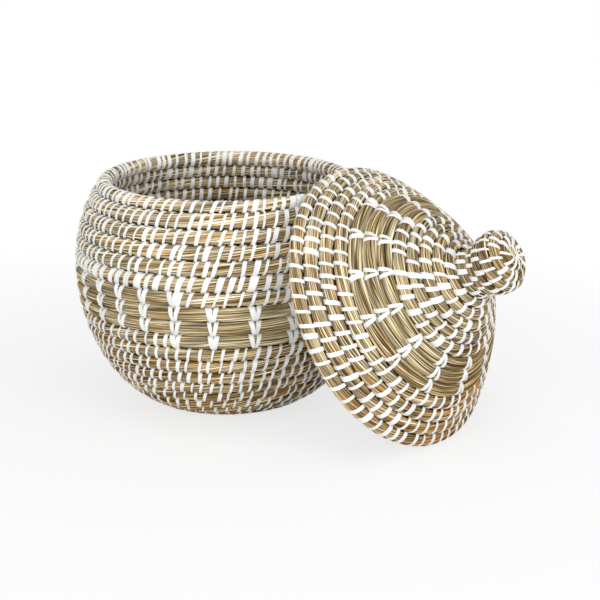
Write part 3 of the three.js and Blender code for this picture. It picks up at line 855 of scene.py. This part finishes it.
def ribbons(coil, at, depth, widths, offsets, foot_drop, lift=0.0):
    """Ribbons round the bundle: the section carried along a path on the rounded box. offsets are how far
    along the bundle they lie at the foot, the top and the back foot, and widths how wide they are at the
    foot, halfway up the outside and from the top on."""
    height = (RIBBON_PATH + np.pi / 2) / np.pi
    across = np.stack([np.interp(height, [0, 1, 2], row) for row in np.stack(offsets, axis=-1)])
    width = np.stack([np.interp(height, [0, 0.5, 1], row) for row in np.stack(widths, axis=-1)])
    radius = course_at(coil, at, depth)[3]
    turn = at[:, None] + across / (2 * np.pi * radius[:, None])
    middle, half, deep, _ = course_at(coil, turn, depth)
    box_out, box_up = section(RIBBON_PATH, WRAPPED_FORM["roundness"])
    reach = np.where(RIBBON_PATH < 0, 1 + foot_drop, 1)

    def over(rise):
        """The path at a rise above the bundle: the rounded box times the half sizes plus the rise."""
        along = np.maximum(middle + (half + rise) * box_up * reach, 0)
        return place(coil, turn, along + 0 * turn, (deep + rise) * box_out)

    path = over(lift)
    normal = unit(over(lift + 1) - path)
    side = unit(np.cross(np.gradient(path, axis=1), normal))
    spread, rise = RIBBON_SECTION.T
    points = (path[:, :, None]
              + side[:, :, None] * (width[:, :, None] * spread)[..., None]
              + normal[:, :, None] * (STRIP_THICKNESS * rise)[:, None])
    run = np.cumsum(np.linalg.norm(np.diff(path, axis=1, prepend=path[:, :1]), axis=2), axis=1)
    run = run + STREAKS_APART * np.arange(len(at))[:, None]
    uv = np.stack([run[:, :, None] + 0 * spread, width[:, :, None] * spread], axis=-1) * MM
    tone = draw.normal(0, STRIP_TONE_SPREAD, len(at))[:, None, None] + np.zeros(points.shape[:3])
    return points, uv, {"tone": tone}


def ribbon_faces(count, rows, columns):
    """The faces of one tube, repeated for each ribbon."""
    first = (np.arange(count) * rows * columns)[:, None, None]
    return [(group + first).reshape(-1, group.shape[1]) for group in tube_faces(rows, columns)]


print("a ribbon has", len(RIBBON_PATH) * len(RIBBON_SECTION), "points")

# %% [markdown]
# ## The wrap stitches
#
# Well over a thousand stitches hold the wrapped courses. Copies of one stitch would look machine-made, so
# each has its own width and lean, drawn by a seeded chance. The strip is pinched where it dives under its
# course, wider over the top, and widest in the row above the band, where the maker used a broad strip.
# Near the hearts there is no room, and the stitches narrow to spokes.

# %% Wrap stitches
STRIP_WIDTH = dict(base=2.2, lower_wall=2.9, upper_wall=3.4, knob=3.2, lid_crown=4.2, lid_edge=3.7)
UNEVEN_WIDTH = dict(basket=0.23, lid=0.24)
UNEVEN_SLANT = 1.1
WIDE_FROM, WIDE_TO = 16.66, 17.45
WIDE_WIDTH = 5.8
SPOKE_SHARE = 0.5
SPOKE_POINT, FOOT_WIDEST = 0.15, 0.85
HALFWAY_WIDTH, TOP_WIDTH = 0.95, 1.05
for part, (coil, _, _, depth, gap, _) in wrapped_lengths.items():
    at = stitches[part]
    count = len(at)
    body = body_of_part[part]
    wide = (coil is basket_coil) & (at > WIDE_FROM) & (at < WIDE_TO)
    uneven = draw.lognormal(0, UNEVEN_WIDTH[body], count)
    width = np.where(wide, WIDE_WIDTH, STRIP_WIDTH[part]) * uneven
    slant = draw.normal(SLANT[part], UNEVEN_SLANT, count) * (depth / BUNDLE_DEPTH)
    offsets = (-slant / 2, slant / 2, gap - slant / 2)
    radius = course_at(coil, at, depth)[3]
    width = np.minimum(width, SPOKE_SHARE * 2 * np.pi * radius / HEART_STITCHES)
    foot_radius = np.interp(course_edge(coil, at), coil["along"], coil["line"][:, 0])
    foot_width = width * np.clip(foot_radius / radius, SPOKE_POINT, FOOT_WIDEST)
    widths = (foot_width, HALFWAY_WIDTH * width, TOP_WIDTH * width)
    points, uv, marks = ribbons(coil, at, depth, widths, offsets, FOOT_DROP[part])
    points = stand_on_ground(placed[body](points), STRIP_CLEAR)
    add_piece(f"{part}_stitches", points, ribbon_faces(*points.shape[:3]), body, white_strip,
              uv.reshape(-1, 2), marks, crisp=len(RIBBON_SECTION))

# %% [markdown]
# ## The chains of V stitches
#
# On the bare bands the strip goes twice through one hole and spreads at the top, so each course shows a V,
# and the Vs stand on each other in a chain. A V could be one flat shape, but its legs go round the bundle
# like any stitch. So it is two ribbons with a common foot, which lean apart. One more V closes each band
# where its last course ends.

# %% Chains of V stitches
LEG_FOOT = -0.2
LEG_TOP, UNEVEN_TOP = dict(band=4.3, lid_band=4.6), 0.5
LEG_WIDTH, UNEVEN_LEG = dict(band=4.5, lid_band=3.7), 0.13
LEG_FOOT_WIDTH, LEG_HALFWAY_WIDTH = 0.4, 0.9
LEG_LIFT = 0.2
for part, (coil, _, depth, columns, body, _) in bands.items():
    closing = columns[:1] + BAND_COURSES
    at = np.concatenate([columns + course for course in range(BAND_COURSES)] + [closing])
    at = np.concatenate([at, at])
    sign = np.repeat([-1.0, 1.0], len(at) // 2)
    width = LEG_WIDTH[part] * draw.lognormal(0, UNEVEN_LEG, len(at))
    foot_at = sign * LEG_FOOT
    top_at = sign * draw.normal(LEG_TOP[part], UNEVEN_TOP, len(at))
    widths = (LEG_FOOT_WIDTH * width, LEG_HALFWAY_WIDTH * width, width)
    points, uv, marks = ribbons(
        coil, at, depth, widths, (foot_at, top_at, foot_at), FOOT_DROP[part], LEG_LIFT)
    points = placed[body](points)
    chains = sorted(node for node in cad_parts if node.startswith(f"{part}_stitch_"))
    add_piece(f"{part}_v_stitches", points, ribbon_faces(*points.shape[:3]), body,
              white_strip, uv.reshape(-1, 2), marks, chains, crisp=len(RIBBON_SECTION))

# %% [markdown]
# ## The floor
#
# The photograph is a plain studio shot on white. More light would make the floor white too, but the strip
# would clip with it. So the floor is a matt pale board that keeps a soft shadow, and to the camera, in
# gloss and through glass it also glows, more and more away from the object, into the white around it.

# %% Floor
FLOOR_HALF = 20.0
GLOW_FROM, GLOW_TO = 0.2, 0.75
GLOW_NEAR, GLOW_FAR = 0.75, 1.0


def white_surroundings(tree):
    """1 for rays that see the surroundings: from the camera, in gloss and through glass. Otherwise 0."""
    rays = add_node(tree, "ShaderNodeLightPath").outputs
    seen = rays["Is Camera Ray"]
    for kind in ("Is Glossy Ray", "Is Transmission Ray"):
        either = add_node(tree, "ShaderNodeMath", {0: seen, 1: rays[kind]}, operation="MAXIMUM")
        seen = either.outputs["Value"]
    return seen


def pale_floor():
    """Matt pale board, mixed with a white glow by the distance from the middle."""
    material = bpy.data.materials.new("matt pale board")
    material.use_nodes = True
    tree = material.node_tree
    tree.nodes.clear()
    board = add_node(tree, "ShaderNodeBsdfDiffuse", {"Color": linear("#ececeb")})
    glow = add_node(tree, "ShaderNodeEmission", {"Color": (1, 1, 1, 1), "Strength": 1.0})
    on_floor = add_node(tree, "ShaderNodeTexCoord").outputs["Object"]
    distance = add_node(tree, "ShaderNodeVectorMath", {0: on_floor}, operation="LENGTH").outputs["Value"]
    fade = add_node(tree, "ShaderNodeMapRange", {
        "Value": distance, "From Min": GLOW_FROM, "From Max": GLOW_TO,
        "To Min": GLOW_NEAR, "To Max": GLOW_FAR})
    share = add_node(tree, "ShaderNodeMath", {
        0: white_surroundings(tree), 1: fade.outputs["Result"]}, operation="MULTIPLY")
    mixed = add_node(tree, "ShaderNodeMixShader", {
        0: share.outputs["Value"], 1: board.outputs["BSDF"], 2: glow.outputs["Emission"]})
    add_node(tree, "ShaderNodeOutputMaterial", {"Surface": mixed.outputs["Shader"]})
    return material


floor_mesh = bpy.data.meshes.new("floor")
floor_corners = [(FLOOR_HALF * x, FLOOR_HALF * y, 0) for x, y in ((-1, -1), (1, -1), (1, 1), (-1, 1))]
floor_mesh.from_pydata(floor_corners, [], [(0, 1, 2, 3)])
floor_mesh.materials.append(pale_floor())
floor = bpy.data.objects.new("floor", floor_mesh)
bpy.context.scene.collection.objects.link(floor)
print("floor is", 2 * FLOOR_HALF, "m wide")

# %% [markdown]
# ## The light
#
# A studio lights such a thing softly from both sides, so that the belly is round and the lid shades the
# wall behind it. One lamp would leave half of it dark, and a bright sky alone would make it flat. So two
# wide lamps stand in front, left and right, a third hangs above, and a weak sky lifts the shadows. The sky
# is white only to rays that look at it.

# %% Sky and lamps
SKY_STRENGTH = 0.4
TARGET = np.array([72.6, 0, 100.1]) * MM
world = bpy.data.worlds.new("white studio")
bpy.context.scene.world = world
world.use_nodes = True
sky = world.node_tree
sky.nodes.clear()
strength = add_node(sky, "ShaderNodeMapRange", {
    "Value": white_surroundings(sky), "To Min": SKY_STRENGTH, "To Max": 1.0})
background = add_node(sky, "ShaderNodeBackground", {
    "Color": (1, 1, 1, 1), "Strength": strength.outputs["Result"]})
add_node(sky, "ShaderNodeOutputWorld", {"Surface": background.outputs["Background"]})


def add_lamp(name, offset, size, power):
    """Square lamp at an offset in metres from the object's middle, turned to face it."""
    light = bpy.data.lights.new(name, "AREA")
    light.size = size
    light.energy = power
    lamp = bpy.data.objects.new(name, light)
    lamp.location = TARGET + np.array(offset)
    lamp.rotation_euler = Vector(offset).to_track_quat("Z", "Y").to_euler()
    bpy.context.scene.collection.objects.link(lamp)


add_lamp("left lamp", (-0.8, -1.75, 0.75), size=1.2, power=19)
add_lamp("right lamp", (1.35, -1.45, 0.6), size=1.2, power=17)
add_lamp("top lamp", (0.0, -0.6, 2.0), size=1.4, power=11)
bpy.context.scene.view_settings.view_transform = "Standard"
print("lamps:", [lamp.name for lamp in bpy.data.lights])

# %% [markdown]
# ## The camera
#
# The photograph was taken from a little above, about 1.3 m away. The camera's height, distance and lens
# were fitted to the outlines of the belly, the rim and the lid's edge. A camera set by eye would do for a
# single thing, but here the lid has to cover the same part of the wall as in the photograph.

# %% Camera
ELEVATION = np.radians(15.1)
DISTANCE = 1.3
FOCAL_PIXELS, PICTURE_PIXELS = 1287, 600
SENSOR = 36
camera_data = bpy.data.cameras.new("camera")
camera_data.sensor_width = SENSOR
camera_data.lens = FOCAL_PIXELS / PICTURE_PIXELS * SENSOR
camera = bpy.data.objects.new("camera", camera_data)
back = Vector((0, -np.cos(ELEVATION), np.sin(ELEVATION)))
camera.location = Vector(TARGET) + DISTANCE * back
camera.rotation_euler = back.to_track_quat("Z", "Y").to_euler()
bpy.context.scene.collection.objects.link(camera)
bpy.context.scene.camera = camera
print(f"camera lens {camera_data.lens:.1f} mm")
